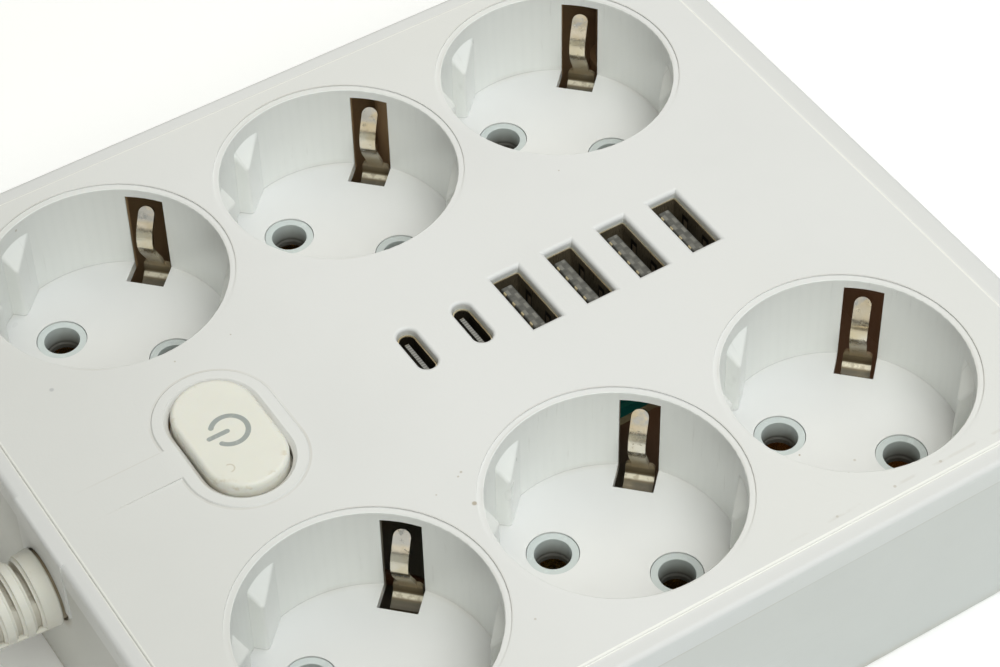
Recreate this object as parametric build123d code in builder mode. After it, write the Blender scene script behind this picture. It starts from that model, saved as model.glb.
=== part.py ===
from build123d import *
import math
import os

# ---------------------------------------------------------------- dimensions
# millimetres; origin at the middle of the underside, +X away from the cord,
# +Y to the rear socket row, +Z up

# housing
body_l, body_w = 148.6, 133.2  # outside of the cover's skirt
panel_z = 37.6  # top of the raised panel
border_z = 37.25  # top of the border round the panel
skirt_z = 33.1  # lower edge of the cover's skirt, upper edge of the tray
corner_r = 6.0
edge_r = 1.0
panel_x0, panel_x1, panel_half_w = -71.5, 70.0, 63.45
plate_t = 2.45
wall_t = 2.0
tray_top_l, tray_top_w = 148.3, 132.8
tray_low_l, tray_low_w = 147.3, 130.0
tray_floor_t = 1.5

# sockets
pitch, row_y = 42.23, 40.03
socket_turn = -45.0
well_r, band_r = 19.35, 20.4
rim_z = 37.35
floor_z, floor_t = 20.6, 1.8
well_out_r = 20.9
pin_half = 9.5
pin_hole_r, boss_r, pin_bore_r, pin_mouth_r = 4.1, 4.0, 2.65, 2.87
bore_top_z, mouth_h = 16.6, 0.3
boss_top_z = 20.35
rib_u, rib_v, rib_len = 16.65, 3.65, 7.5
rib_low_z = 30.6  # lowest corner of the lead-in, which rises out and along
rib_rise_u, rib_rise_v = 1.4, 0.53
slot_w, slot_top_z, slot_v = 6.36, 35.7, 14.5

# switch
button_x = -42.2
button_r, button_len = 6.6, 22.6
button_hole_r, button_hole_len = 7.0, 23.6
button_top_z = 39.1
surround_len, surround_w, surround_h = 28.4, 19.4, 0.2
button_travel = 1.5

# ports
port_x = [-9.6, 0.35, 10.15, 20.1, 30.05, 40.0]
a_hole, a_shell, a_cavity = (5.15, 12.45), (5.05, 12.35), (4.65, 12.05)
c_hole, c_shell, c_cavity = (9.05, 3.25), (8.9, 3.1), (8.45, 2.65)
shell_top_z, board_top_z, board_t = 36.2, 23.0, 1.6

# cord
cord_d = 7.2
boot_z = 24.9
boot_r0, boot_r1, boot_len = 6.3, 4.7, 28.0
neck_r, collar_gap = 5.6, 0.45  # groove between the collar and the housing
entry_r = 6.1  # round opening that the strain relief sits in
end_x = -body_l / 2
clamp_x, jacket_x = -65.0, -60.0
coil_out, coil_in = 49.0, 28.75  # centre of the outer and inner turns
coil_lift = 0.8

centres = [(i * pitch, s * row_y) for s in (1, -1) for i in (-1, 0, 1)]
rows = {"rear": row_y, "front": -row_y}
made = []


def keep(part, name):
    part.label = name
    made.append((name, part))


# ------------------------------------------------------------ socket well
# hollow of one well with its x along the pin line and y along the clip line
with BuildPart() as well_cut:
    with BuildSketch(Plane.XY.offset(floor_z)):
        Circle(well_r)
    extrude(amount=rim_z - floor_z)
    with BuildSketch(Plane.XY.offset(rim_z)):
        Circle(band_r)
    extrude(amount=1.5)
    lip = (
        well_cut.edges()
        .filter_by(GeomType.CIRCLE)
        .filter_by(lambda e: abs(e.radius - well_r) < 0.01 and e.center().Z > 30)
    )
    fillet(lip, 0.15)
    # two guide ribs on either side keep their material
    for side in (-1, 1):
        for hand in (-1, 1):
            with BuildPart(mode=Mode.PRIVATE) as rib:
                for far in (0.0, rib_len):
                    low = rib_low_z + rib_rise_v * far
                    top = low + rib_rise_u * (19.6 - rib_u)
                    with BuildSketch(Plane.XZ.offset(-hand * (rib_v + far))):
                        with BuildLine():
                            Polyline(
                                (side * rib_u, floor_z - 1),
                                (side * rib_u, low),
                                (side * 19.6, top),
                                (side * 22, top),
                                (side * 22, floor_z - 1),
                                close=True,
                            )
                        make_face()
                loft(ruled=True)
                lead_in = rib.edges().filter_by(
                    lambda e: abs(abs(e.center().X) - rib_u) < 0.01
                    and abs(e.center().Y) > rib_v + 1
                    and e.center().Z > rib_low_z
                )
                fillet(lead_in, 0.9)
                inner = rib.edges().filter_by(
                    lambda e: abs(e.center().Y - hand * rib_v) < 0.01
                    and abs(e.center().X) < 20.5
                    and e.center().Z > floor_z - 0.5
                )
                fillet(inner, 0.6)
            add(rib.part, mode=Mode.SUBTRACT)
    # pin holes through the floor
    with BuildSketch(Plane.XY.offset(floor_z - floor_t - 1)):
        with Locations((-pin_half, 0), (pin_half, 0)):
            Circle(pin_hole_r)
    extrude(amount=floor_t + 1.5)
    # clip slots through wall and floor
    with BuildSketch(Plane.XY.offset(floor_z - floor_t - 1)):
        with Locations((0, (slot_v + 22.4) / 2), (0, -(slot_v + 22.4) / 2)):
            Rectangle(slot_w, 22.4 - slot_v)
    extrude(amount=slot_top_z - floor_z + floor_t + 1)
    # the wall is relieved behind the slots
    with BuildSketch(Plane.XY.offset(floor_z - floor_t - 1)):
        with Locations((0, (20.15 + 22.4) / 2), (0, -(20.15 + 22.4) / 2)):
            Rectangle(9.0, 22.4 - 20.15)
    extrude(amount=slot_top_z - floor_z + floor_t + 1)

well_cuts = [
    Pos(cx, cy, 0) * Rot(0, 0, socket_turn) * well_cut.part for cx, cy in centres
]

# ---------------------------------------------------------------- top cover
screw_xy = [
    (66.5, 58.0),
    (-66.5, 58.0),
    (66.5, -58.0),
    (-66.5, -58.0),
    (21.1, 57.8),
    (21.1, -57.8),
]
board_xy = [(-13.0, 12.0), (-13.0, -12.0), (46.0, 12.0), (46.0, -12.0)]
under_z = border_z - plate_t

with BuildPart() as top_cover:
    with BuildSketch(Plane.XY.offset(skirt_z)):
        RectangleRounded(body_l, body_w, corner_r)
    extrude(amount=border_z - skirt_z)
    fillet(top_cover.edges().group_by(Axis.Z)[-1], edge_r)
    # raised panel
    with BuildSketch(Plane.XY.offset(border_z)):
        with Locations(((panel_x0 + panel_x1) / 2, 0)):
            RectangleRounded(panel_x1 - panel_x0, 2 * panel_half_w, 4.0)
    extrude(amount=panel_z - border_z)
    fillet(top_cover.edges().group_by(Axis.Z)[-1], 0.3)
    # button surround with a tail that runs out towards the cord
    with BuildSketch(Plane.XY.offset(panel_z)):
        with Locations((button_x, 0)):
            SlotOverall(surround_len, surround_w, rotation=90)
    extrude(amount=surround_h, taper=50)
    with BuildSketch(Plane.XZ.offset(-3.0)):
        with BuildLine():
            Polyline(
                (button_x - 6, panel_z - 0.4),
                (button_x - 6, panel_z + surround_h),
                (button_x - 11, panel_z + surround_h),
                (button_x - 25, panel_z - 0.05),
                (button_x - 25, panel_z - 0.4),
                close=True,
            )
        make_face()
    extrude(amount=6.0)
    # hollow underside
    with BuildSketch(Plane.XY.offset(skirt_z)):
        RectangleRounded(body_l - 2 * wall_t, body_w - 2 * wall_t, corner_r - wall_t)
    extrude(amount=under_z - skirt_z, mode=Mode.SUBTRACT)
    # lip that locates the cover inside the tray walls
    with BuildSketch(Plane.XY.offset(30.6)):
        RectangleRounded(143.6, 128.1, 3.6)
        RectangleRounded(141.2, 125.7, 2.6, mode=Mode.SUBTRACT)
    extrude(amount=under_z - 30.6)
    with BuildSketch(Plane.XY.offset(30.0)):
        with Locations((-71.5, 0)):
            Rectangle(6, 15.4)
    extrude(amount=under_z - 30.0, mode=Mode.SUBTRACT)
    # socket wells
    with BuildSketch(Plane.XY.offset(floor_z - floor_t)):
        with Locations(*centres):
            Circle(well_out_r)
    extrude(amount=under_z + 0.5 - floor_z + floor_t)
    # bosses for the housing screws and the board screws
    with BuildSketch(Plane.XY.offset(16.0)):
        with Locations(*screw_xy):
            Circle(3.6)
    extrude(amount=under_z + 0.5 - 16.0)
    with BuildSketch(Plane.XY.offset(board_top_z)):
        with Locations(*board_xy):
            Circle(2.8)
    extrude(amount=under_z + 0.5 - board_top_z)
    # tab that closes the tray's notch above the strain relief
    with BuildPart(mode=Mode.PRIVATE) as tab:
        with BuildSketch(Plane.YZ.offset(end_x - 0.06)):
            with Locations((0, (boot_z + border_z) / 2)):
                Rectangle(15.0, border_z - boot_z)
        extrude(amount=2.06)
        brow = tab.edges().filter_by(Axis.Y).filter_by(
            lambda e: e.center().Z > border_z - 0.01 and e.center().X < end_x
        )
        fillet(brow, 0.6)
        with BuildSketch(Plane.YZ.offset(end_x - 1)):
            with Locations((0, boot_z)):
                Circle(entry_r)
        extrude(amount=5, mode=Mode.SUBTRACT)
    add(tab.part)
    # wells, ports and the button opening
    add(well_cuts, mode=Mode.SUBTRACT)
    with BuildSketch(Plane.XY.offset(under_z - 1)):
        with Locations((button_x, 0)):
            SlotOverall(button_hole_len, 2 * button_hole_r, rotation=90)
        with Locations(*[(x, 0) for x in port_x[2:]]):
            Rectangle(*a_hole)
        with Locations(*[(x, 0) for x in port_x[:2]]):
            SlotOverall(*c_hole, rotation=90)
    extrude(amount=6, mode=Mode.SUBTRACT)
    # blind holes for the screws
    with BuildSketch(Plane.XY.offset(16.0)):
        with Locations(*screw_xy):
            Circle(1.5)
    extrude(amount=10.0, mode=Mode.SUBTRACT)
    with BuildSketch(Plane.XY.offset(board_top_z)):
        with Locations(*board_xy):
            Circle(1.0)
    extrude(amount=6.5, mode=Mode.SUBTRACT)
    # eased edges of the openings
    rims = (
        top_cover.edges()
        .group_by(Axis.Z)[-1]
        .filter_by(lambda e: abs(e.center().X - button_x) < 7.2 and abs(e.center().Y) < 12)
    )
    chamfer(rims, 0.7)
    ports = top_cover.edges().filter_by(
        lambda e: abs(e.center().Z - panel_z) < 0.01
        and abs(e.center().Y) < 6.6
        and -13 < e.center().X < 44
        and e.length < 20
    )
    fillet(ports.filter_by(lambda e: e.center().X > 5), 0.7)
    fillet(ports.filter_by(lambda e: e.center().X < 5), 0.55)

# the well floors are solids of their own within the cover, parted through the pin holes
with BuildPart() as cover_shell:
    add(top_cover.part)
    with BuildSketch(Plane.XY.offset(floor_z - floor_t)):
        with Locations(*centres):
            Circle(well_out_r)
    extrude(amount=floor_t, mode=Mode.SUBTRACT)
floors = []
for u0, u1 in ((-22.0, -pin_half), (-pin_half, pin_half), (pin_half, 22.0)):
    for v_mid in (-11.0, 11.0):
        with BuildSketch() as sector:
            Circle(well_out_r)
            with Locations(((u0 + u1) / 2, v_mid)):
                Rectangle(u1 - u0, 22.0, mode=Mode.INTERSECT)
        with BuildPart() as well_floors:
            add(top_cover.part)
            with BuildSketch(Plane.XY.offset(floor_z - floor_t)):
                for cx, cy in centres:
                    add(Pos(cx, cy, 0) * Rot(0, 0, socket_turn) * sector.sketch)
            extrude(amount=floor_t, mode=Mode.INTERSECT)
        floors += well_floors.part.solids()
keep(Compound([*cover_shell.part.solids(), *floors]), "top_cover")
print("cover solids", len(cover_shell.part.solids()), len(floors))
print("cover volume", top_cover.part.volume, cover_shell.part.volume + sum(f.volume for f in floors))

# ---------------------------------------------------------------- base tray
carrier_low_z, carrier_top_z = 15.8, 18.6

with BuildPart() as base_tray:
    with BuildSketch(Plane.XY):
        RectangleRounded(tray_low_l, tray_low_w, corner_r)
    with BuildSketch(Plane.XY.offset(skirt_z)):
        RectangleRounded(tray_top_l, tray_top_w, corner_r)
    loft()
    fillet(base_tray.edges().group_by(Axis.Z)[0], 0.8)
    with BuildSketch(Plane.XY.offset(tray_floor_t)):
        RectangleRounded(
            tray_low_l - 2 * wall_t, tray_low_w - 2 * wall_t, corner_r - wall_t
        )
    with BuildSketch(Plane.XY.offset(skirt_z)):
        RectangleRounded(
            tray_top_l - 2 * wall_t, tray_top_w - 2 * wall_t, corner_r - wall_t
        )
    loft(mode=Mode.SUBTRACT)
    # posts that meet the cover's bosses, counterbored from below
    with BuildSketch(Plane.XY.offset(0.8)):
        with Locations(*screw_xy):
            Circle(4.6)
    extrude(amount=16.0 - 0.8)
    # end supports under the contact carriers
    with BuildSketch(Plane.XY.offset(1.0)):
        with Locations(*[(sx * 61.5, y) for sx in (-1, 1) for y in rows.values()]):
            Rectangle(3.0, 14.0)
    extrude(amount=carrier_low_z - 1.0)
    # saddle under the cord jacket
    with BuildSketch(Plane.XY.offset(1.0)):
        with Locations((clamp_x, 0)):
            Rectangle(7.6, 22.0)
    extrude(amount=boot_z - 1.0)
    with BuildSketch(Plane.YZ.offset(-70)):
        with Locations((0, boot_z)):
            Circle(cord_d / 2 + 0.05)
    extrude(amount=20, mode=Mode.SUBTRACT)
    # pads under the switch
    with BuildSketch(Plane.XY.offset(1.0)):
        with Locations((button_x, 11.1), (button_x, -11.1)):
            Rectangle(10.0, 1.8)
    extrude(amount=9.0)
    # notch for the strain relief and the cover's tab
    with BuildSketch(Plane.YZ.offset(-80)):
        with Locations((0, boot_z)):
            Circle(entry_r)
        with Locations((0, (boot_z + skirt_z + 2) / 2)):
            Rectangle(15.2, skirt_z + 2 - boot_z)
    extrude(amount=9.2, mode=Mode.SUBTRACT)
    # screw holes and counterbores
    with BuildSketch(Plane.XY.offset(-1)):
        with Locations(*screw_xy):
            Circle(1.7)
    extrude(amount=18, mode=Mode.SUBTRACT)
    with BuildSketch(Plane.XY.offset(-1)):
        with Locations(*screw_xy):
            Circle(3.4)
    extrude(amount=5.0, mode=Mode.SUBTRACT)
    # blind holes for the clamp screws
    with BuildSketch(Plane.XY.offset(boot_z - 9)):
        with Locations((clamp_x, 7.6), (clamp_x, -7.6)):
            Circle(1.25)
    extrude(amount=10, mode=Mode.SUBTRACT)
keep(base_tray.part, "base_tray")

with BuildPart() as housing_screws:
    with BuildSketch(Plane.XY.offset(1.6)):
        with Locations(*screw_xy):
            Circle(2.9)
    extrude(amount=2.4)
    with BuildSketch(Plane.XY.offset(4.0)):
        with Locations(*screw_xy):
            Circle(1.45)
    extrude(amount=20.0)
    with BuildSketch(Plane.XY.offset(1.6)):
        with Locations(*screw_xy):
            Rectangle(3.4, 0.7)
            Rectangle(0.7, 3.4)
    extrude(amount=1.3, mode=Mode.SUBTRACT)
keep(housing_screws.part, "housing_screws")

# ---------------------------------------------------------------- push switch
with BuildPart() as power_button:
    with BuildSketch(Plane.XY.offset(32.6)):
        with Locations((button_x, 0)):
            SlotOverall(button_len, 2 * button_r, rotation=90)
    extrude(amount=button_top_z - 32.6)
    fillet(power_button.edges().group_by(Axis.Z)[-1], 0.7)
    # flange that keeps the cap under the cover
    with BuildSketch(Plane.XY.offset(32.6)):
        with Locations((button_x, 0)):
            SlotOverall(button_len + 3.0, 2 * button_r + 3.0, rotation=90)
    extrude(amount=1.8)
    # hollow from below
    with BuildSketch(Plane.XY.offset(32.6)):
        with Locations((button_x, 0)):
            SlotOverall(button_len - 3.2, 2 * button_r - 3.2, rotation=90)
    extrude(amount=button_top_z - 1.6 - 32.6, mode=Mode.SUBTRACT)
    # stem
    with BuildSketch(Plane.XY.offset(29.5)):
        with Locations((button_x, 0)):
            Rectangle(5.0, 5.0)
    extrude(amount=button_top_z - 1.0 - 29.5)
keep(power_button.part, "power_button")

with BuildPart() as switch_plunger:
    with BuildSketch(Plane.XY.offset(20.0)):
        with Locations((button_x, 0)):
            Rectangle(4.0, 4.0)
    extrude(amount=9.5)
keep(switch_plunger.part, "switch_plunger")

with BuildPart() as switch_body:
    with BuildSketch(Plane.XY.offset(10.0)):
        with Locations((button_x, 0)):
            RectangleRounded(16.0, 24.0, 1.0)
    extrude(amount=16.0)
    with BuildSketch(Plane.XY.offset(17.5)):
        with Locations((button_x, 0)):
            Rectangle(4.8, 4.8)
    extrude(amount=10.0, mode=Mode.SUBTRACT)
keep(switch_body.part, "switch_body")

terminal_y = [-8.5, -3.5, 3.5, 8.5]
with BuildPart() as switch_terminals:
    with BuildSketch(Plane.XY.offset(4.0)):
        with Locations(*[(button_x, y) for y in terminal_y]):
            Rectangle(4.8, 0.8)
    extrude(amount=6.0)
keep(switch_terminals.part, "switch_terminals")

# ---------------------------------------------------------------- contacts
turn = math.radians(socket_turn)
dx, dy = pin_half * math.cos(turn), pin_half * math.sin(turn)
sleeve_out, sleeve_in = 3.5, 2.75
sleeve_low, sleeve_top = 8.6, 15.75
bar_off = 3.1

for row, y0 in rows.items():
    spots = [(i * pitch, y0) for i in (-1, 0, 1)]
    holes = [(x + s * dx, y + s * dy) for x, y in spots for s in (-1, 1)]
    with BuildPart() as carrier:
        with BuildSketch(Plane.XY.offset(carrier_low_z)):
            RectangleRounded(126.0, 19.0, 2.0)
        extrude(amount=carrier_top_z - carrier_low_z)
        with BuildSketch(Plane.XY.offset(carrier_low_z)):
            with Locations(*[(x, y - y0) for x, y in holes]):
                Circle(boss_r)
        extrude(amount=boss_top_z - carrier_low_z)
        with BuildSketch(Plane.XY.offset(carrier_low_z - 1)):
            with Locations(*[(x, y - y0) for x, y in holes]):
                Circle(pin_bore_r)
        extrude(amount=bore_top_z - carrier_low_z + 1, mode=Mode.SUBTRACT)
        # the mouth in the boss is a little wider than the guide under it
        with Locations(*[(x, y - y0, bore_top_z) for x, y in holes]):
            Cone(
                pin_bore_r,
                pin_mouth_r,
                mouth_h,
                align=(Align.CENTER, Align.CENTER, Align.MIN),
                mode=Mode.SUBTRACT,
            )
        with BuildSketch(Plane.XY.offset(bore_top_z + mouth_h)):
            with Locations(*[(x, y - y0) for x, y in holes]):
                Circle(pin_mouth_r)
        extrude(amount=8, mode=Mode.SUBTRACT)
        rims = (
            carrier.edges()
            .group_by(Axis.Z)[-1]
            .filter_by(lambda e: abs(e.radius - pin_mouth_r) < 0.01)
        )
        fillet(rims, 0.12)
    keep(Pos(0, y0, 0) * carrier.part, f"contact_carrier_{row}")

    for pole, s in (("live", -1), ("neutral", 1)):
        with BuildPart() as strip:
            with BuildSketch(Plane.XY.offset(sleeve_low)):
                with Locations(*[(i * pitch, 0) for i in (-1, 0, 1)]):
                    Circle(sleeve_out)
                with Locations((0, -s * bar_off)):
                    Rectangle(104.0, 0.8)
                with Locations(*[(i * pitch, 0) for i in (-1, 0, 1)]):
                    Circle(sleeve_in, mode=Mode.SUBTRACT)
            extrude(amount=sleeve_top - sleeve_low)
            # slits that let the sleeves spring
            with BuildSketch(Plane.XY.offset(sleeve_low)):
                with Locations(*[(i * pitch, s * 3.2) for i in (-1, 0, 1)]):
                    Rectangle(0.7, 1.8)
            extrude(amount=6.0, mode=Mode.SUBTRACT)
        keep(Pos(s * dx, y0 + s * dy, 0) * strip.part, f"{pole}_strip_{row}")


# side clip in the plane of the clip line: distance from the well's axis, height
def clip_line(t):
    a = [
        (21.12, 18.2),
        (20.75, 19.6),
        (19.15, 22.6),
        (17.65, 25.3),
        (17.2, 27.5),
        (17.65, 29.3),
        (18.85, 31.0),
        (20.4, 32.9),
    ]
    pts = []
    for i, (v, z) in enumerate(a):
        p, q = a[max(i - 1, 0)], a[min(i + 1, len(a) - 1)]
        tx, tz = q[0] - p[0], q[1] - p[1]
        n = math.hypot(tx, tz)
        pts.append((v + tz / n * t, z - tx / n * t))
    return pts


with BuildPart() as clip:
    # narrow sprung arm
    with BuildSketch(Plane.YZ):
        with BuildLine():
            inner, outer = clip_line(-0.3), clip_line(0.3)
            Spline(*inner)
            Spline(*outer)
            Line(inner[0], outer[0])
            Line(inner[-1], outer[-1])
        make_face()
    extrude(amount=1.35, both=True)
    tips = clip.edges().filter_by(
        lambda e: abs(e.length - 0.6) < 0.03 and e.center().Z > 32
    )
    fillet(tips, 1.3)
    # broad root, cranked inwards under the well's floor, and the foot that
    # runs to the middle of the socket
    with BuildSketch(Plane.YZ):
        with BuildLine():
            Polyline(
                (0, 4.0),
                (19.1, 4.0),
                (19.1, 15.2),
                (21.33, 16.6),
                (21.45, 19.3),
                (20.85, 19.3),
                (20.75, 17.0),
                (18.5, 15.6),
                (18.5, 4.8),
                (0, 4.8),
                close=True,
            )
        make_face()
    extrude(amount=2.34, both=True)
    folds = clip.edges().filter_by(Axis.X).filter_by(
        lambda e: e.center().Y > 20.7 and 16.5 < e.center().Z < 17.1
    )
    fillet(folds, 0.5)
    shoulders = clip.edges().filter_by(
        lambda e: abs(e.length - 0.6) < 0.03
        and abs(e.center().Z - 19.3) < 0.1
        and abs(abs(e.center().X) - 2.34) < 0.01
    )
    fillet(shoulders, 0.8)
clip_pair = [
    Rot(0, 0, socket_turn) * clip.part,
    Rot(0, 0, socket_turn + 180) * clip.part,
]

for row, y0 in rows.items():
    clips = [Pos(i * pitch, y0, 0) * c for i in (-1, 0, 1) for c in clip_pair]
    with BuildPart() as earth:
        with BuildSketch(Plane.XY.offset(4.0)):
            with Locations((0, y0)):
                Rectangle(100.0, 5.0)
        extrude(amount=0.8)
        add(clips)
    keep(earth.part, f"earth_strip_{row}")

# ---------------------------------------------------------------- ports
with BuildPart() as usb_board:
    with BuildSketch(Plane.XY.offset(board_top_z - board_t)):
        with Locations((16.5, 0)):
            RectangleRounded(66.0, 37.0, 1.0)
        with Locations(*board_xy):
            Circle(1.2, mode=Mode.SUBTRACT)
    extrude(amount=board_t)
keep(usb_board.part, "usb_board")

with BuildPart() as board_screws:
    with BuildSketch(Plane.XY.offset(board_top_z - board_t - 1.4)):
        with Locations(*board_xy):
            Circle(2.0)
    extrude(amount=1.4)
    with BuildSketch(Plane.XY.offset(board_top_z - board_t)):
        with Locations(*board_xy):
            Circle(0.95)
    extrude(amount=6.0)
keep(board_screws.part, "board_screws")

for n, x in enumerate(port_x[2:], 1):
    with BuildPart() as shell:
        with BuildSketch(Plane.XY.offset(board_top_z)):
            with Locations((x, 0)):
                RectangleRounded(*a_shell, 0.5)
        extrude(amount=shell_top_z - board_top_z)
        with BuildSketch(Plane.XY.offset(board_top_z + 1.0)):
            with Locations((x, 0)):
                RectangleRounded(*a_cavity, 0.3)
        extrude(amount=20, mode=Mode.SUBTRACT)
    keep(shell.part, f"usb_a_shell_{n}")
    with BuildPart() as tongue:
        with BuildSketch(Plane.XY.offset(board_top_z + 1.0)):
            with Locations((x, 0)):
                Rectangle(4.5, 11.9)
        extrude(amount=2.5)
        with BuildSketch(Plane.XY.offset(board_top_z + 1.0)):
            with Locations((x - 0.39, 0)):
                Rectangle(2.08, 10.0)
        extrude(amount=35.5 - board_top_z - 1.0)
        # shallow grooves of the four contacts on the open side
        with BuildSketch(Plane.XY.offset(board_top_z + 5.0)):
            with Locations(*[(x + 0.65, y) for y in (-3.5, -1.0, 1.0, 3.5)]):
                Rectangle(0.3, 1.0)
        extrude(amount=6.9, mode=Mode.SUBTRACT)
        fillet(tongue.edges().group_by(Axis.Z)[-1].filter_by(Axis.Y), 0.3)
    keep(tongue.part, f"usb_a_tongue_{n}")

for n, x in enumerate(port_x[:2], 1):
    with BuildPart() as shell:
        with BuildSketch(Plane.XY.offset(board_top_z)):
            with Locations((x, 0)):
                SlotOverall(*c_shell, rotation=90)
        extrude(amount=shell_top_z - board_top_z)
        with BuildSketch(Plane.XY.offset(board_top_z + 1.0)):
            with Locations((x, 0)):
                SlotOverall(*c_cavity, rotation=90)
        extrude(amount=20, mode=Mode.SUBTRACT)
    keep(shell.part, f"usb_c_shell_{n}")
    with BuildPart() as tongue:
        with BuildSketch(Plane.XY.offset(board_top_z + 1.0)):
            with Locations((x, 0)):
                Rectangle(1.6, 6.4)
        extrude(amount=4.0)
        with BuildSketch(Plane.XY.offset(board_top_z + 1.0)):
            with Locations((x, 0)):
                Rectangle(0.7, 6.4)
        extrude(amount=35.4 - board_top_z - 1.0)
    keep(tongue.part, f"usb_c_tongue_{n}")

board_low_z = board_top_z - board_t
with BuildPart() as usb_transformer:
    with BuildSketch(Plane.XY.offset(board_low_z - 14.0)):
        with Locations((24.0, 0)):
            RectangleRounded(17.0, 15.0, 1.0)
    extrude(amount=14.0)
    with BuildSketch(Plane.XY.offset(board_low_z - 11.0)):
        with Locations((24.0, 0)):
            RectangleRounded(19.0, 17.0, 1.5)
    extrude(amount=8.0)
keep(usb_transformer.part, "usb_transformer")

for n, y in enumerate((6.0, -6.0), 1):
    with BuildPart() as capacitor:
        with BuildSketch(Plane.XY.offset(board_low_z - 15.0)):
            with Locations((4.0, y)):
                Circle(4.0)
        extrude(amount=15.0)
        fillet(capacitor.edges().group_by(Axis.Z)[0], 0.6)
    keep(capacitor.part, f"usb_capacitor_{n}")

# ---------------------------------------------------------------- strain relief
boot_end_x = end_x - boot_len
slots_x = [end_x - 4.0 - 3.0 * i for i in range(7)]
collar_x = end_x - collar_gap

with BuildPart() as cord_boot:
    with BuildSketch(Plane.XZ):
        with BuildLine():
            Spline(
                (boot_end_x, boot_z + boot_r1),
                (boot_end_x + 10, boot_z + 5.1),
                (boot_end_x + 18, boot_z + 5.6),
                (collar_x, boot_z + boot_r0),
            )
            Polyline(
                (collar_x, boot_z + boot_r0),
                (collar_x, boot_z + neck_r),
                (end_x + 2.6, boot_z + neck_r),
                (end_x + 2.6, boot_z + 7.2),
                (end_x + 5.0, boot_z + 7.2),
                (end_x + 5.0, boot_z + cord_d / 2),
                (jacket_x, boot_z + cord_d / 2),
                (jacket_x, boot_z),
                (boot_end_x, boot_z),
                (boot_end_x, boot_z + boot_r1),
            )
        make_face()
    revolve(axis=Axis((0, 0, boot_z), (1, 0, 0)))
    tip = cord_boot.edges().filter_by(GeomType.CIRCLE).group_by(Axis.X)[0]
    fillet(tip, 0.6)
    collar = (
        cord_boot.edges()
        .filter_by(GeomType.CIRCLE)
        .filter_by(lambda e: abs(e.radius - boot_r0) < 0.01)
    )
    fillet(collar, 0.35)
    # cross slots round the upper side, deeper on top, that let the relief bend
    # and leave a spine along its underside
    spine = math.radians(-25.0)
    around = Plane(
        origin=(0, 0, boot_z),
        x_dir=(1, 0, 0),
        z_dir=(0, -math.sin(spine), math.cos(spine)),
    )
    for i, sx in enumerate(slots_x):
        t = (sx - boot_end_x) / (collar_x - boot_end_x)
        crest = boot_r1 + (boot_r0 - boot_r1) * t**1.25
        with BuildSketch(around):
            with BuildLine():
                Polyline(
                    (sx - 0.9, crest + 0.05),
                    (sx - 0.9, 9.0),
                    (sx + 0.9, 9.0),
                    (sx + 0.9, crest + 0.05),
                )
                RadiusArc((sx + 0.9, crest + 0.05), (sx + 0.4, crest - 0.45), 0.5)
                Polyline(
                    (sx + 0.4, crest - 0.45),
                    (sx + 0.4, crest - 0.85),
                    (sx - 0.4, crest - 0.85),
                    (sx - 0.4, crest - 0.45),
                )
                RadiusArc((sx - 0.4, crest - 0.45), (sx - 0.9, crest + 0.05), 0.5)
            make_face()
        revolve(
            axis=Axis((0, 0, boot_z), (1, 0, 0)),
            revolution_arc=230.0,
            mode=Mode.SUBTRACT,
        )
        with BuildSketch(Plane.YZ.offset(sx - 0.4)):
            with Locations((0, boot_z + 2.9 + 4.0)):
                Rectangle(15.0, 8.0)
            with Locations((0, boot_z)):
                Circle(4.0, mode=Mode.SUBTRACT)
        extrude(amount=0.8, mode=Mode.SUBTRACT)
keep(cord_boot.part, "cord_boot")

with BuildPart() as cord_clamp:
    with BuildSketch(Plane.XY.offset(boot_z + 0.4)):
        with Locations((clamp_x, 0)):
            RectangleRounded(7.0, 21.0, 1.0)
    extrude(amount=5.4)
    with BuildSketch(Plane.YZ.offset(-70)):
        with Locations((0, boot_z)):
            Circle(cord_d / 2 + 0.05)
    extrude(amount=20, mode=Mode.SUBTRACT)
    with BuildSketch(Plane.XY.offset(boot_z)):
        with Locations((clamp_x, 7.6), (clamp_x, -7.6)):
            Circle(1.5)
    extrude(amount=10, mode=Mode.SUBTRACT)
keep(cord_clamp.part, "cord_clamp")

with BuildPart() as clamp_screws:
    with BuildSketch(Plane.XY.offset(boot_z + 5.8)):
        with Locations((clamp_x, 7.6), (clamp_x, -7.6)):
            Circle(2.4)
    extrude(amount=1.8)
    with BuildSketch(Plane.XY.offset(boot_z - 8.0)):
        with Locations((clamp_x, 7.6), (clamp_x, -7.6)):
            Circle(1.2)
    extrude(amount=13.8)
keep(clamp_screws.part, "clamp_screws")


# ---------------------------------------------------------------- inner wires
def radii_for(points):
    runs = [Vector(*q) - Vector(*p) for p, q in zip(points, points[1:])]
    out = []
    for a, b in zip(runs, runs[1:]):
        half = math.radians(a.get_angle(b)) / 2
        out.append(0.45 * min(a.length, b.length) / math.tan(half))
    return out


def tube(points, radii, r):
    with BuildPart() as t:
        with BuildLine() as path:
            FilletPolyline(*points, radius=radii)
        first = Vector(*points[1]) - Vector(*points[0])
        with BuildSketch(Plane(origin=points[0], z_dir=first)):
            Circle(r)
        sweep(path=path.wires()[0])
    return t.part, path.wires()[0].length


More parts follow.
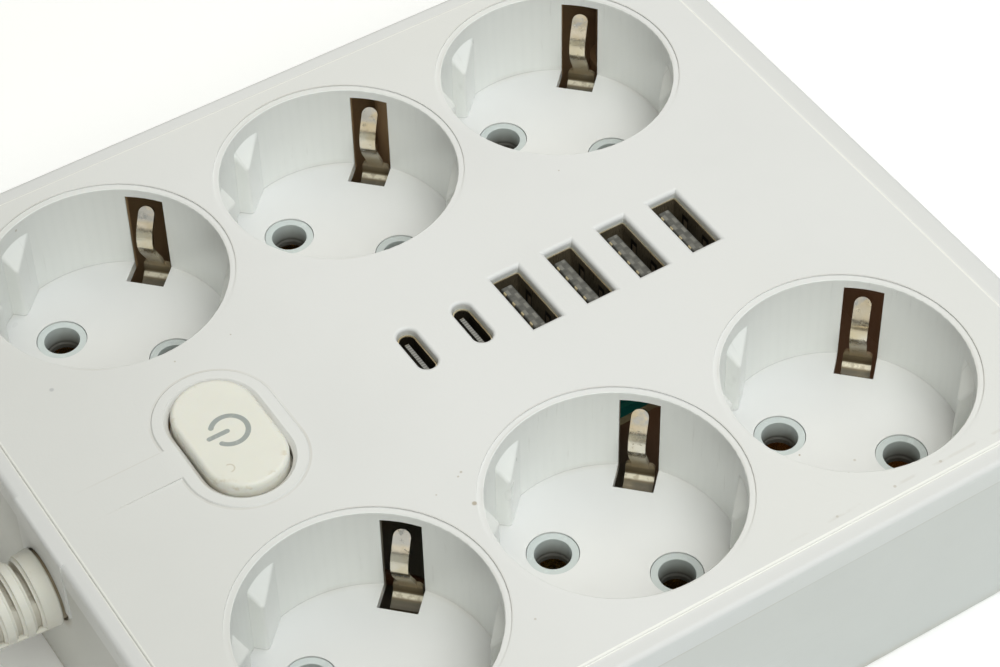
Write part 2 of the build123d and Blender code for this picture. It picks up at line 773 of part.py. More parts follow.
wire_r = 1.2
wires = {
    "wire_live_in": [
        (jacket_x, 1.35, 24.1),
        (-56.5, 2.0, 23.5),
        (-54.5, 7.0, 15.0),
        (-52.0, 8.5, 7.2),
        (-44.6, 8.5, 6.5),
    ],
    "wire_neutral_in": [
        (jacket_x, 0, 26.4),
        (-53.6, 0.4, 25.8),
        (-52.2, 2.6, 16.0),
        (-51.5, 3.5, 7.2),
        (-44.6, 3.5, 6.5),
    ],
    "wire_earth_in": [
        (jacket_x, -1.35, 24.1),
        (-56.5, -2.2, 23.2),
        (-54.5, -9.0, 14.0),
        (-54.0, -20.0, 6.6),
        (-52.0, -32.0, 6.3),
        (-44.5, -40.0, 6.05),
    ],
    "wire_earth_link": [
        (-5.0, -39.0, 6.05),
        (-4.0, -26.0, 6.1),
        (-5.5, -10.0, 4.8),
        (-6.0, 9.0, 4.6),
        (-7.5, 26.0, 6.2),
        (-6.0, 39.0, 6.05),
    ],
    "wire_live_rear": [
        (-39.8, -3.5, 8.6),
        (-35.8, -3.3, 8.4),
        (-31.5, 6.0, 7.0),
        (-29.0, 18.0, 5.9),
        (-26.0, 29.0, 6.1),
        (-21.0, 40.0, 6.4),
        (-19.5, 45.5, 9.6),
        (-19.5, 49.45, 10.6),
    ],
    "wire_live_front": [
        (-39.8, -3.5, 5.4),
        (-34.0, -4.0, 5.6),
        (-27.5, -12.0, 7.6),
        (-22.0, -21.0, 10.2),
        (-20.5, -29.8, 11.2),
    ],
    "wire_neutral_rear": [
        (-39.8, -8.5, 8.6),
        (-32.8, -8.6, 8.7),
        (-27.5, 2.0, 11.0),
        (-29.0, 16.0, 11.4),
        (-31.8, 24.0, 11.5),
        (-32.2, 29.8, 11.3),
    ],
    "wire_neutral_front": [
        (-39.8, -8.5, 5.4),
        (-36.0, -9.2, 5.4),
        (-34.0, -19.0, 5.6),
        (-33.0, -30.0, 6.1),
        (-25.0, -41.0, 6.4),
        (-23.5, -45.8, 9.5),
        (-23.3, -49.45, 10.6),
    ],
}
# what each conductor's two ends butt against is taken off it
near = {
    "wire_live_in": ["cord_boot", "switch_terminals"],
    "wire_neutral_in": ["cord_boot", "switch_terminals"],
    "wire_earth_in": ["cord_boot", "earth_strip_front"],
    "wire_earth_link": ["earth_strip_front", "earth_strip_rear"],
    "wire_live_rear": ["switch_terminals", "live_strip_rear"],
    "wire_live_front": ["switch_terminals", "live_strip_front"],
    "wire_neutral_rear": ["switch_terminals", "neutral_strip_rear"],
    "wire_neutral_front": ["switch_terminals", "neutral_strip_front"],
}
done = dict(made)
for name, points in wires.items():
    radii = radii_for(points)
    body, length = tube(points, radii, wire_r)
    print(name, "radii", [round(r, 1) for r in radii], "length", round(length, 1))
    with BuildPart() as wire:
        add(body)
        add([done[n] for n in near[name]], mode=Mode.SUBTRACT)
    keep(wire.part, name)

# ---------------------------------------------------------------- cord
coil_low = coil_lift + cord_d / 2
lead = [
    (boot_end_x, 0, boot_z),
    (-121.0, 0, boot_z),
    (-138.5, -3.4, 17.9),
    (-156.0, -9.9, 8.6),
    (-173.0, -19.0, 4.1),
    (-188.5, -28.0, coil_low),
]
hx, hy = -15.5, -9.0
hn = math.hypot(hx, hy)
coil_x = lead[-1][0] + coil_out * hy / hn
coil_y = lead[-1][1] - coil_out * hx / hn
leave = math.radians(75.0)
tail_x = coil_x + coil_out * math.cos(leave)
tail_y = coil_y + coil_out * math.sin(leave)
along = (math.sin(leave), -math.cos(leave))
plug_z = 7.5
tail = [
    (tail_x + along[0] * s, tail_y + along[1] * s, z)
    for s, z in (
        (0, coil_low + cord_d),
        (10, coil_low + cord_d - 0.85),
        (21, coil_low + cord_d - 2.9),
        (32, plug_z),
        (41, plug_z),
    )
]
print("coil centre", round(coil_x, 3), round(coil_y, 3))

with BuildPart() as cord_coil:
    with BuildSketch(Plane.XY.offset(coil_lift)):
        with Locations((coil_x, coil_y)):
            Circle(coil_out + cord_d / 2)
            Circle(coil_in - cord_d / 2, mode=Mode.SUBTRACT)
    extrude(amount=2 * cord_d)
    fillet(cord_coil.edges().filter_by(GeomType.CIRCLE), 2.5)
keep(cord_coil.part, "cord_coil")

section = math.pi * (cord_d / 2) ** 2
for name, points in (("cord", lead), ("cord_tail", tail)):
    radii = radii_for(points)
    body, length = tube(points, radii, cord_d / 2)
    print(name, "radii", [round(r, 1) for r in radii])
    print(name, "volume", round(body.volume, 1), "section x length", round(section * length, 1))
    with BuildPart() as run:
        add(body)
        add(cord_coil.part, mode=Mode.SUBTRACT)
    keep(run.part, name)

# strap round the coil on the side away from the housing
with BuildPart() as strap:
    with BuildSketch(Plane.XY.offset(0.1)):
        with Locations((-(coil_out + coil_in) / 2, 0)):
            RectangleRounded(coil_out - coil_in + cord_d + 1.6, 9.0, 0.5)
    extrude(amount=coil_lift + 2 * cord_d + 0.6)
with BuildPart() as cord_tie:
    add(Pos(coil_x, coil_y, 0) * Rot(0, 0, 20) * strap.part)
    add(cord_coil.part, mode=Mode.SUBTRACT)
keep(cord_tie.part, "cord_tie")

# ---------------------------------------------------------------- plug
# drawn with the cord leaving along -X, then turned to meet the tail
grip_r, front_r, front_z, face_z = 19.5, 18.2, 15.0, 32.0
plug_half, plug_pin_r, plug_pin_l = 9.5, 2.4, 19.0
with BuildPart() as plug_shape:
    with BuildSketch(Plane.XY):
        Circle(grip_r)
    extrude(amount=front_z)
    fillet(plug_shape.edges().group_by(Axis.Z)[0], 2.5)
    with BuildSketch(Plane.XY.offset(front_z - 0.5)):
        Circle(front_r)
    extrude(amount=face_z - front_z + 0.5)
    fillet(
        plug_shape.edges().group_by(Axis.Z)[-1],
        0.8,
    )
    # keyways for the sockets' guide ribs
    with BuildSketch(Plane.XY.offset(front_z)):
        with Locations(*[(a * 18.0, b * 7.4) for a in (-1, 1) for b in (-1, 1)]):
            Rectangle(4.0, 8.0)
    extrude(amount=face_z - front_z + 1, mode=Mode.SUBTRACT)
    # recesses of the side contacts
    with BuildSketch(Plane.XY.offset(front_z + 2)):
        with Locations((0, 18.4), (0, -18.4)):
            Rectangle(6.4, 2.0)
    extrude(amount=face_z - front_z, mode=Mode.SUBTRACT)
    # sleeve over the end of the cord
    with BuildSketch(Plane.YZ.offset(-43.0)):
        with Locations((0, plug_z)):
            Circle(5.0)
    with BuildSketch(Plane.YZ.offset(-17.0)):
        with Locations((0, plug_z)):
            Circle(6.8)
    loft()
    for k in range(5):
        with BuildSketch(Plane.YZ.offset(-40.5 + 3.6 * k)):
            with Locations((0, plug_z)):
                Circle(8.0)
                Circle(4.4 + 0.2 * k, mode=Mode.SUBTRACT)
        extrude(amount=1.3, mode=Mode.SUBTRACT)

with BuildPart() as pin_shape:
    with BuildSketch(Plane.XY.offset(face_z)):
        Circle(plug_pin_r)
    extrude(amount=plug_pin_l)
    fillet(pin_shape.edges().group_by(Axis.Z)[-1], 1.2)

with BuildPart() as contact_shape:
    with BuildSketch(Plane.XY.offset(front_z + 2)):
        with Locations((0, 17.7), (0, -17.7)):
            Rectangle(5.6, 0.6)
    extrude(amount=face_z - front_z - 3)

heading = math.degrees(math.atan2(along[1], along[0]))
plug_x, plug_y = tail[-1][0] + along[0] * 43.0, tail[-1][1] + along[1] * 43.0
place = Pos(plug_x, plug_y, 0) * Rot(0, 0, heading)
print("plug centre", round(plug_x, 3), round(plug_y, 3), "turn", round(heading, 2))
keep(place * plug_shape.part, "plug_body")
keep(place * Pos(plug_half, 0, 0) * pin_shape.part, "plug_pin_1")
keep(place * Pos(-plug_half, 0, 0) * pin_shape.part, "plug_pin_2")
keep(place * contact_shape.part, "plug_earth_contact")

# ---------------------------------------------------------------- export
os.makedirs("parts", exist_ok=True)
for name, part in made:
    export_step(part, f"parts/{name}.step")
    print(name, round(part.volume, 1), len(part.solids()))
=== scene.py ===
import bpy, math
from mathutils import Matrix, Vector


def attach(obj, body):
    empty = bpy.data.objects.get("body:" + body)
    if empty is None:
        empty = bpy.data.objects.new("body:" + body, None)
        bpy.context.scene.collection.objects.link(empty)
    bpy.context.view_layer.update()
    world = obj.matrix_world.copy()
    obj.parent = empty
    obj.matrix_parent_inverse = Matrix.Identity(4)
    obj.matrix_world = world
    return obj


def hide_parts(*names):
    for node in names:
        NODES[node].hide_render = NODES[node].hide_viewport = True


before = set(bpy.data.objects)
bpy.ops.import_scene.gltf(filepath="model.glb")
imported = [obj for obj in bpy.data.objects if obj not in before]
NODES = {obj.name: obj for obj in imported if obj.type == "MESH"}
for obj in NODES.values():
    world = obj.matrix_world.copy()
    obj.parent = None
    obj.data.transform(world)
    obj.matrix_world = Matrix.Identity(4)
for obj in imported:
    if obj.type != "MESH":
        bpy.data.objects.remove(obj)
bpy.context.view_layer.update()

scene = bpy.context.scene

# ------------------------------------------------------------------ dimensions (m)
PITCH, ROW = 0.04223, 0.04003
BUTTON_X = -0.0422
PANEL_Z = 0.0376
RIM_Z = 0.03735
FLOOR_Z = 0.0206
BOOT_Z = 0.0249


# ------------------------------------------------------------------ node helper
class Tree:
    def __init__(self, name):
        self.mat = bpy.data.materials.new(name)
        self.mat.use_nodes = True
        self.nt = self.mat.node_tree
        self.nt.nodes.clear()
        self.out = self.nt.nodes.new("ShaderNodeOutputMaterial")
        self.bsdf = self.nt.nodes.new("ShaderNodeBsdfPrincipled")
        self.nt.links.new(self.bsdf.outputs[0], self.out.inputs[0])
        tc = self.nt.nodes.new("ShaderNodeTexCoord")
        self.pos = tc.outputs["Object"]
        sep = self.nt.nodes.new("ShaderNodeSeparateXYZ")
        self.link(self.pos, sep.inputs[0])
        self.x, self.y, self.z = sep.outputs
        self._n = None
        self._mm = None

    def link(self, a, b):
        if isinstance(a, bpy.types.NodeSocket):
            self.nt.links.new(a, b)
        else:
            b.default_value = a

    def normal(self):
        if self._n is None:
            g = self.nt.nodes.new("ShaderNodeNewGeometry")
            s = self.nt.nodes.new("ShaderNodeSeparateXYZ")
            self.link(g.outputs["Normal"], s.inputs[0])
            self._n = s.outputs
        return self._n

    def m(self, op, a, b=0.0, c=0.0, clamp=False):
        n = self.nt.nodes.new("ShaderNodeMath")
        n.operation = op
        n.use_clamp = clamp
        for v, s in zip((a, b, c), n.inputs):
            self.link(v, s)
        return n.outputs[0]

    def add(self, *v):
        r = v[0]
        for w in v[1:]:
            r = self.m("ADD", r, w)
        return r

    def sub(self, a, b):
        return self.m("SUBTRACT", a, b)

    def mul(self, *v):
        r = v[0]
        for w in v[1:]:
            r = self.m("MULTIPLY", r, w)
        return r

    def mx(self, a, b):
        return self.m("MAXIMUM", a, b)

    def mn(self, a, b):
        return self.m("MINIMUM", a, b)

    def absv(self, a):
        return self.m("ABSOLUTE", a)

    def hyp(self, a, b):
        return self.m("SQRT", self.add(self.mul(a, a), self.mul(b, b)))

    def step(self, v, lo, hi, a=0.0, b=1.0):
        """a below lo, b above hi, smooth between."""
        n = self.nt.nodes.new("ShaderNodeMapRange")
        n.interpolation_type = "SMOOTHSTEP"
        for w, s in zip((v, lo, hi, a, b), n.inputs):
            self.link(w, s)
        return n.outputs[0]

    def band(self, v, mid, half, soft):
        """1 where v lies within half of mid, falling off over soft."""
        d = self.absv(self.sub(v, mid))
        return self.step(d, half, half + soft, 1.0, 0.0)

    def noise(self, scale, detail=3.0, rough=0.5, vec=None, dist=0.0):
        n = self.nt.nodes.new("ShaderNodeTexNoise")
        self.link(vec if vec is not None else self.pos, n.inputs["Vector"])
        n.inputs["Scale"].default_value = scale
        n.inputs["Detail"].default_value = detail
        n.inputs["Roughness"].default_value = rough
        n.inputs["Distortion"].default_value = dist
        return n.outputs[0]

    def voronoi(self, scale, vec=None, feature="F1", rand=1.0):
        n = self.nt.nodes.new("ShaderNodeTexVoronoi")
        n.feature = feature
        self.link(vec if vec is not None else self.pos, n.inputs["Vector"])
        n.inputs["Scale"].default_value = scale
        n.inputs["Randomness"].default_value = rand
        return n.outputs["Distance"], n.outputs["Color"]

    def vec(self, x, y, z):
        n = self.nt.nodes.new("ShaderNodeCombineXYZ")
        for v, s in zip((x, y, z), n.inputs):
            self.link(v, s)
        return n.outputs[0]

    def mix(self, f, a, b, mode="MIX"):
        n = self.nt.nodes.new("ShaderNodeMix")
        n.data_type = "RGBA"
        n.blend_type = mode
        self.link(f, n.inputs[0])
        for v, s in ((a, n.inputs[6]), (b, n.inputs[7])):
            if not isinstance(v, bpy.types.NodeSocket) and len(v) == 3:
                v = (*v, 1.0)
            self.link(v, s)
        return n.outputs[2]

    def bump(self, h, strength, dist, normal=None):
        n = self.nt.nodes.new("ShaderNodeBump")
        n.inputs["Strength"].default_value = strength
        n.inputs["Distance"].default_value = dist
        self.link(h, n.inputs["Height"])
        if normal is not None:
            self.link(normal, n.inputs["Normal"])
        return n.outputs[0]

    def set(self, **kw):
        for k, v in kw.items():
            s = self.bsdf.inputs[k.replace("_", " ")]
            if not isinstance(v, bpy.types.NodeSocket) and s.type == "RGBA" and len(v) == 3:
                v = (*v, 1.0)
            self.link(v, s)
        return self.mat

    # place in millimetres
    def mm(self):
        if self._mm is None:
            self._mm = tuple(self.mul(v, 1000.0) for v in (self.x, self.y, self.z))
        return self._mm

    # place relative to the nearest socket's axis and the distance from it, mm
    def socket(self):
        X, Y, _ = self.mm()
        k = self.mn(self.mx(self.m("ROUND", self.mul(X, 1 / 42.23)), -1.0), 1.0)
        px = self.sub(X, self.mul(k, 42.23))
        py = self.sub(self.absv(Y), 40.03)
        return px, self.mul(py, self.m("SIGN", Y)), self.hyp(px, py)

    # distance outside a stadium that is long in Y, mm
    def stadium(self, cx, half, r):
        X, Y, _ = self.mm()
        over = self.mx(self.sub(self.absv(Y), half), 0.0)
        return self.sub(self.hyp(self.sub(X, cx), over), r)

    # distance outside a rounded rectangle, mm
    def frame_line(self, cx, hx, hy, r):
        X, Y, _ = self.mm()
        qx = self.sub(self.absv(self.sub(X, cx)), hx - r)
        qy = self.sub(self.absv(Y), hy - r)
        return self.sub(
            self.add(self.hyp(self.mx(qx, 0.0), self.mx(qy, 0.0)), self.mn(self.mx(qx, qy), 0.0)), r
        )

    def spots(self, scale, keep, size, vec=None):
        """sparse round dots, size in metres, keep is the share of cells without one."""
        d, c = self.voronoi(scale, vec)
        sep = self.nt.nodes.new("ShaderNodeSeparateColor")
        self.link(c, sep.inputs[0])
        big = self.mul(self.add(0.45, sep.outputs[1]), size * scale)
        edge = self.step(self.sub(d, big), -0.3 * size * scale, 0.3 * size * scale, 1.0, 0.0)
        return self.mul(edge, self.step(sep.outputs[0], keep, keep + 0.02))


def srgb(r, g, b):
    f = lambda v: v / 255 / 12.92 if v <= 10 else ((v / 255 + 0.055) / 1.055) ** 2.4
    return (f(r), f(g), f(b))


def paint(mat, *names):
    for n in names:
        o = NODES[n]
        o.data.materials.clear()
        o.data.materials.append(mat)


# ------------------------------------------------------------------ materials
WHITE = (0.788, 0.793, 0.797)
# yellowed plastic, also used as painted warm shade towards the cord's end
YELLOWED_AND_SHADE = (0.775, 0.775, 0.735)
# well floors are painted darker and well walls lighter than the plastic: painted shade and painted light
WELL_FLOOR_PAINTED_SHADE = (0.735, 0.737, 0.735)
WELL_WALL_PAINTED_LIGHT = (0.915, 0.930, 0.915)
GRIME = (0.30, 0.215, 0.105)
DUST = (0.44, 0.43, 0.40)
GLOW = (0.0036, 0.0025, 0.0014)


def shade(c, k):
    return tuple(v * k for v in c)


def translucent(t, weight):
    """thin walls let a little warm light through."""
    t.bsdf.inputs["Subsurface Weight"].default_value = weight
    t.bsdf.inputs["Subsurface Radius"].default_value = tuple(v / GLOW[0] for v in GLOW)
    t.bsdf.inputs["Subsurface Scale"].default_value = GLOW[0]


# lid: textured panel, smooth glossy wells with painted light and shade, grime in the lines with some painted shade
t = Tree("lid_plastic")
X, Y, Z = t.mm()
px, py, rad = t.socket()
inside = t.step(rad, 19.30, 19.55, 1.0, 0.0)
top = t.step(Z, 36.6, 36.95)
cloud = t.noise(36, 3, 0.6)
patch = t.noise(11, 2, 0.55)
col = t.mix(t.step(cloud, 0.35, 0.72), WHITE, shade(WHITE, 0.978))
col = t.mix(t.mul(t.step(patch, 0.45, 0.72), 0.35), col, YELLOWED_AND_SHADE)
# yellower towards the cord's end: partly yellowing, partly painted warm shade
col = t.mix(t.step(X, 10.0, -74.0, 0.0, 0.30), col, YELLOWED_AND_SHADE)
# painted light: the well floor is lighter towards its +X side
wfloor_painted_light = t.mix(t.step(px, 3.0, 15.0), WELL_FLOOR_PAINTED_SHADE, shade(WELL_FLOOR_PAINTED_SHADE, 1.17))
wcol = t.mix(t.step(Z, 20.65, 20.9), wfloor_painted_light, WELL_WALL_PAINTED_LIGHT)
wcol = t.mix(t.step(cloud, 0.35, 0.7, 0.0, 0.03), wcol, (0.2, 0.2, 0.2))
col = t.mix(inside, col, wcol)

streak = t.noise(55, 3, 0.6)
blot = t.noise(140, 3, 0.6)
turn = t.m("DIVIDE", t.add(t.mul(px, 0.75), t.mul(py, 0.65)), t.mx(rad, 1.0))
# painted shade: the ring line round each socket is darker on its +X +Y side; the rest is grime in the groove
ring = t.mul(t.band(rad, 20.45, 0.05, 0.16), top, t.step(turn, -0.35, 0.75, 0.0, 0.12), t.step(streak, 0.36, 0.62, 0.25, 1.0))
lip = t.mul(t.band(rad, 19.62, 0.06, 0.14), top, t.step(streak, 0.5, 0.7), 0.12)
edge = t.frame_line(-0.75, 70.75, 63.45, 4.0)
step_line = t.mul(t.band(edge, 0.14, 0.10, 0.22), top, t.step(streak, 0.30, 0.65, 0.35, 1.0), t.step(Y, -50.0, -63.0, 0.02, 0.05))
near_line = t.mul(
    t.band(Y, -61.55, 0.10, 0.28),
    t.step(X, 12.0, 26.0),
    t.step(X, 66.0, 52.0),
    t.step(t.noise(300, 2, 0.5), 0.48, 0.62),
    top,
    0.11,
)
sur = t.stadium(-42.2, 4.5, 9.70)
sur_line = t.mul(t.band(sur, 0.10, 0.08, 0.22), top, t.step(streak, 0.35, 0.62, 0.05, 0.20), t.step(X, -51.6, -51.0))
sur_turn = t.mul(t.band(sur, 0.10, 0.08, 0.22), top, t.step(t.absv(Y), 3.0, 3.6), t.step(X, -51.0, -51.6), 0.12)
tail = t.mul(
    t.band(t.absv(Y), 3.02, 0.05, 0.16),
    t.step(X, -51.0, -52.5),
    t.step(X, -68.0, -60.0),
    t.step(streak, 0.3, 0.6, 0.4, 1.0),
    t.step(Y, -2.0, 2.0, 0.06, 0.16),
    top,
)
gap = t.stadium(-42.2, 4.8, 7.0)
hole_edge = t.mul(t.step(gap, 0.05, 0.85, 1.0, 0.0), t.step(blot, 0.38, 0.66, 0.06, 0.34))
# browner at the foot of the well walls
corner = t.mul(inside, t.step(Z, 20.7, 21.9, 1.0, 0.0), t.step(rad, 18.3, 19.3), t.step(streak, 0.4, 0.68), 0.09)
# grime in the lines, with painted shade in the ring lines
grime_and_shade = ring
for g in (lip, step_line, near_line, sur_line, sur_turn, tail, hole_edge, corner):
    grime_and_shade = t.mx(grime_and_shade, g)
# the step round the panel catches light
col = t.mix(t.mul(t.band(edge, -0.10, 0.20, 0.12), top), col, (0.94, 0.935, 0.905))
# the border has dulled a little; below, painted shade darkens the skirt and the cord's end
border = t.mul(t.step(edge, 0.15, 0.45), top)
col = t.mix(border, col, shade(WHITE, 0.955))
# painted shade: the skirt's outer faces are darker
skirt_shade = t.mul(t.sub(1.0, top), t.sub(1.0, inside), t.step(X, -73.9, -73.6))
col = t.mix(skirt_shade, col, (0.86, 0.885, 0.885), "MULTIPLY")
# painted shade: darker towards the cord's end
col = t.mix(t.step(X, -8.0, -74.0), col, (0.890, 0.892, 0.888), "MULTIPLY")
col = t.mix(grime_and_shade, col, GRIME)

# single specks where the lead carries them: x, y, radius, strength
SPECKS = (
    (-18.5, -30.6, 0.50, 0.62),
    (-17.0, -24.5, 0.30, 0.42),
    (-17.8, -25.0, 0.24, 0.40),
    (-60.1, 23.2, 0.42, 0.0),
    (35.7, -38.2, 0.22, 0.75),
    (42.2, -43.7, 0.30, 0.32),
    (-9.4, -47.0, 0.22, 0.60),
    (30.6, -55.5, 0.24, 0.70),
    (34.4, -61.6, 0.34, 0.35),
    (42.9, -61.5, 0.32, 0.30),
    (24.0, -61.5, 0.28, 0.28),
    (-41.8, 18.0, 0.24, 0.40),
    (-32.0, 18.2, 0.20, 0.45),
    (-46.0, 21.5, 0.22, 0.45),
    (-22.5, -53.0, 0.22, 0.35),
    (29.7, 20.4, 0.20, 0.40),
    (32.8, -48.9, 0.20, 0.35),
    (-22.3, -26.2, 0.20, 0.35),
)
for sx, sy, sr, k in SPECKS:
    if k == 0.0:
        continue
    d = t.hyp(t.sub(X, sx), t.sub(Y, sy))
    d = t.add(d, t.mul(t.sub(blot, 0.5), 0.5 * sr))
    col = t.mix(t.mul(t.step(d, 0.45 * sr, sr, k, 0.0), t.step(Z, 20.0, 20.4)), col, GRIME)
d = t.hyp(t.sub(X, -60.1), t.sub(Y, 23.2))
col = t.mix(t.step(d, 0.2, 0.5, 0.42, 0.0), col, (0.30, 0.31, 0.34))
dots = t.mul(t.spots(62, 0.62, 0.00022), t.step(Z, 20.4, 20.5), 0.38)
col = t.mix(dots, col, GRIME)
faint = t.mul(t.spots(150, 0.55, 0.00016), 0.10)
col = t.mix(faint, col, DUST)

# rub marks left in the wells by plugs: fine upright lines on the walls
ang = t.m("ARCTAN2", py, px)
rub = t.noise(1.0, 3, 0.6, t.vec(t.mul(ang, 26.0), t.mul(Z, 0.10), t.mul(X, 0.02)))
rub2 = t.noise(60, 3, 0.6)
rubs = t.mul(inside, t.step(rub, 0.60, 0.72), t.step(rub2, 0.45, 0.62), t.step(Z, 22.0, 25.0), 0.16)
col = t.mix(rubs, col, DUST)
hair = t.noise(1.0, 2, 0.5, t.vec(t.mul(t.add(X, t.mul(Y, 0.6)), 5.5), t.mul(t.sub(Y, t.mul(X, 0.6)), 0.09), 0.3))
hairs = t.mul(t.step(hair, 0.725, 0.75), t.step(patch, 0.5, 0.6), t.sub(1.0, inside), top)
col = t.mix(t.mul(hairs, 0.10), col, shade(WHITE, 0.6))

# painted light and shade: the hollows behind the clips are painted brown at the rear and dark grey-brown at the front
within = t.step(t.frame_line(0.0, 73.4, 65.7, 5.3), -0.1, 0.1, 1.0, 0.0)
behind_light_and_shade = t.mul(t.step(rad, 19.45, 19.75), within, t.step(Z, 36.1, 35.8))
col = t.mix(t.mul(behind_light_and_shade, t.step(Y, -5.0, 5.0, 0.86, 0.92)), col, t.mix(t.step(Y, -5.0, 5.0), (0.30, 0.25, 0.185), (0.52, 0.32, 0.145)))

grain = t.noise(2700, 1, 0.55)
coarse = t.noise(900, 1, 0.5)
rough = t.add(0.44, t.mul(t.sub(cloud, 0.5), 0.10), t.mul(grime_and_shade, 0.25), t.mul(rubs, 0.8))
rough = t.sub(rough, t.mul(inside, 0.15))
height = t.add(t.mul(grain, t.sub(1.0, t.mul(inside, 0.85))), t.mul(coarse, 0.25))
# painted glow: the hollow behind the sixth socket gives off a faint brown light
glow = t.mul(behind_light_and_shade, t.step(X, 20.0, 30.0), t.step(Y, 2.0, -4.0), t.step(Z, 17.0, 34.0, 0.45, 0.90), t.step(t.noise(90, 3, 0.6), 0.3, 0.7, 0.75, 1.0))
t.set(
    Base_Color=col,
    Roughness=rough,
    Emission_Color=t.mix(glow, (0.0, 0.0, 0.0), (0.060, 0.027, 0.013)),
    Normal=t.bump(height, 0.30, 0.00004),
)
t.bsdf.inputs["Emission Strength"].default_value = 1.0
t.mat.cycles.emission_sampling = "NONE"
t.bsdf.inputs["Specular IOR Level"].default_value = 0.42
LID = t.mat

# tray: smoother, its sides painted in shade, with dust towards the floor and a dirty seam
t = Tree("tray_plastic")
X, Y, Z = t.mm()
cloud = t.noise(34, 4, 0.6)
streak = t.noise(50, 4, 0.6)
# painted shade: the sides are a darker copy of the white plastic
SIDE_SHADED = (0.618, 0.643, 0.629)
col = t.mix(t.step(cloud, 0.35, 0.72), SIDE_SHADED, shade(SIDE_SHADED, 0.975))
# painted shade: yellower and darker towards the cord's end, partly yellowing
col = t.mix(t.step(X, 20.0, -60.0, 0.0, 0.3), col, shade(YELLOWED_AND_SHADE, 0.85))
# painted shade: the end wall is darker still
col = t.mix(t.step(X, -72.6, -73.3), col, shade(YELLOWED_AND_SHADE, 0.74))
low = t.mul(t.step(Z, 0.3, 3.0, 1.0, 0.0), t.step(streak, 0.35, 0.65, 0.25, 1.0), 0.38)
seam = t.mul(t.step(Z, 32.3, 33.0), t.step(streak, 0.35, 0.6, 0.3, 1.0), 0.35)
entry = t.hyp(Y, t.sub(Z, 24.9))
mouth = t.mul(t.step(entry, 6.2, 7.6, 1.0, 0.0), t.step(X, -72.0, -73.4), t.step(streak, 0.3, 0.6, 0.4, 1.0), 0.55)
col = t.mix(t.mx(t.mx(low, seam), mouth), col, GRIME)
col = t.mix(t.mul(t.spots(70, 0.6, 0.0002), 0.30), col, GRIME)
drag = t.noise(1.0, 3, 0.6, t.vec(t.mul(t.add(X, Y), 0.05), t.mul(Z, 3.2), 0.7))
scuff = t.mul(t.step(drag, 0.64, 0.72), t.step(t.noise(26, 2), 0.5, 0.62), 0.16)
col = t.mix(scuff, col, DUST)
# painted light and shade: its inside is painted brown at the rear and dark grey-brown at the front, as the slots
# behind the clips show, and glows faintly behind the sixth socket
hollow_light_and_shade = t.mul(t.step(t.frame_line(0.0, 72.9, 64.5, 5.4), -0.2, 0.1, 1.0, 0.0), t.step(Z, 0.8, 1.2))
col = t.mix(t.mul(hollow_light_and_shade, 0.9), col, t.mix(t.step(Y, -5.0, 5.0), (0.30, 0.25, 0.185), (0.52, 0.32, 0.145)))
grain = t.noise(2400, 1, 0.55)
t.set(
    Base_Color=col,
    Roughness=t.add(0.38, t.mul(t.sub(cloud, 0.5), 0.12), t.mul(scuff, 0.9)),
    Emission_Color=t.mix(t.mul(hollow_light_and_shade, t.step(X, 20.0, 30.0), t.step(Y, 2.0, -4.0), t.step(Z, 4.0, 30.0, 0.40, 0.90), t.step(t.noise(90, 3, 0.6), 0.3, 0.7, 0.75, 1.0)), (0.0, 0.0, 0.0), (0.060, 0.027, 0.013)),
    Normal=t.bump(t.add(grain, t.mul(t.noise(700, 2), 0.3)), 0.18, 0.00004),
)
t.bsdf.inputs["Specular IOR Level"].default_value = 0.42
t.bsdf.inputs["Emission Strength"].default_value = 1.0
t.mat.cycles.emission_sampling = "NONE"
TRAY = t.mat

# button: ivory cap with a printed grey symbol and grime round its foot
t = Tree("button_plastic")
X, Y, Z = t.mm()
IVORY = (0.812, 0.802, 0.735)
cloud = t.noise(70, 4, 0.6)
col = t.mix(t.step(cloud, 0.35, 0.7), IVORY, shade(IVORY, 0.965))
blot = t.noise(260, 3, 0.6)
side = t.stadium(-42.2, 4.7, 6.6)
# painted light: the lower side of the cap is lighter
col = t.mix(t.mul(t.step(Z, 38.9, 38.2), t.step(side, -1.2, -0.4)), col, (0.945, 0.940, 0.880))
foot = t.mul(t.step(Z, 37.2, 38.0, 1.0, 0.0), t.step(side, -0.9, -0.3), t.step(blot, 0.30, 0.62, 0.35, 1.0), 0.28)
rim = t.mul(t.step(side, -1.6, -0.5), t.step(t.noise(420, 3, 0.6), 0.56, 0.70), 0.30)
col = t.mix(t.mx(foot, rim), col, (0.42, 0.30, 0.13))
stain = t.mul(t.spots(330, 0.80, 0.00028), 0.32)
col = t.mix(stain, col, (0.48, 0.35, 0.15))
curl = t.absv(t.sub(t.hyp(t.sub(X, -45.6), t.sub(Y, -6.3)), 0.75))
curl = t.mul(t.step(curl, 0.06, 0.17, 1.0, 0.0), t.step(X, -45.9, -45.5), 0.30)
col = t.mix(curl, col, (0.30, 0.19, 0.06))
sx, sy = t.sub(X, -42.0), t.sub(Y, 0.2)
ring = t.band(t.hyp(sx, sy), 2.8, 0.36, 0.10)
open_side = t.step(t.absv(t.m("ARCTAN2", sy, t.mul(sx, -1.0))), 0.63, 0.69)
ends = t.step(t.hyp(t.add(sx, 2.212), t.sub(t.absv(sy), 1.717)), 0.36, 0.46, 1.0, 0.0)
along = t.mx(t.sub(t.absv(t.add(sx, 1.9)), 1.5), 0.0)
bar = t.step(t.hyp(along, sy), 0.36, 0.46, 1.0, 0.0)
mark = t.mul(t.mx(t.mx(t.mul(ring, open_side), ends), bar), t.step(Z, 38.9, 39.05))
mark = t.mul(mark, t.step(t.noise(1500, 2), 0.2, 0.45, 0.80, 1.0))
col = t.mix(mark, col, (0.350, 0.380, 0.372))
grain = t.noise(2600, 2, 0.5)
